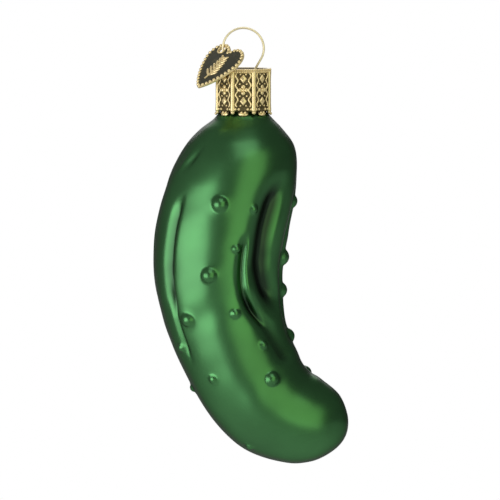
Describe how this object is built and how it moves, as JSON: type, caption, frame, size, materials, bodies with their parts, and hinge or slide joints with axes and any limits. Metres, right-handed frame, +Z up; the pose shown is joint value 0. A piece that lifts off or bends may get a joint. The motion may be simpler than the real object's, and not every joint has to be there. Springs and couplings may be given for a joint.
{
  "type": "pickle ornament",
  "caption": "Blown glass pickle ornament with warts and creases, hung from a crown-shaped metal cap with a sprung wire loop and a swinging heart tag.",
  "frame": {"origin": "inside top of the wire loop, where a hook or twig bears", "axes": "+Z up through the cap's axis, +X to the right as the pickle's tip points, +Y away from the viewer"},
  "size_m": [0.044, 0.0309, 0.0984],
  "materials": {
    "wire": "bright drawn wire",
    "cap": "antique gold, dark in the recesses",
    "tag": "antique gold, dark face",
    "glass": "silvered inside, satin green lacquer outside"
  },
  "bodies": {
    "hanger": {"hanger_wire": "wire"},
    "cap": {"cap": "cap"},
    "glass": {"glass_body": "glass"},
    "tag": {"heart_tag": "tag"}
  },
  "joints": [
    {"name": "cap_tilt", "type": "hinge", "parent": "hanger", "child": "cap", "pos_m": [0, 0, -0.00939], "axis": [1, 0, 0], "range_deg": [-4, 4]},
    {"name": "glass_turn", "type": "hinge", "parent": "cap", "child": "glass", "pos_m": [0, 0, -0.015], "axis": [0, 0, 1], "continuous": true},
    {"name": "tag_swing", "type": "hinge", "parent": "hanger", "child": "tag", "pos_m": [-0.00459, 0, -0.00471], "axis": [0.0785, 0, -0.9969], "range_deg": [0, 85]}
  ]
}
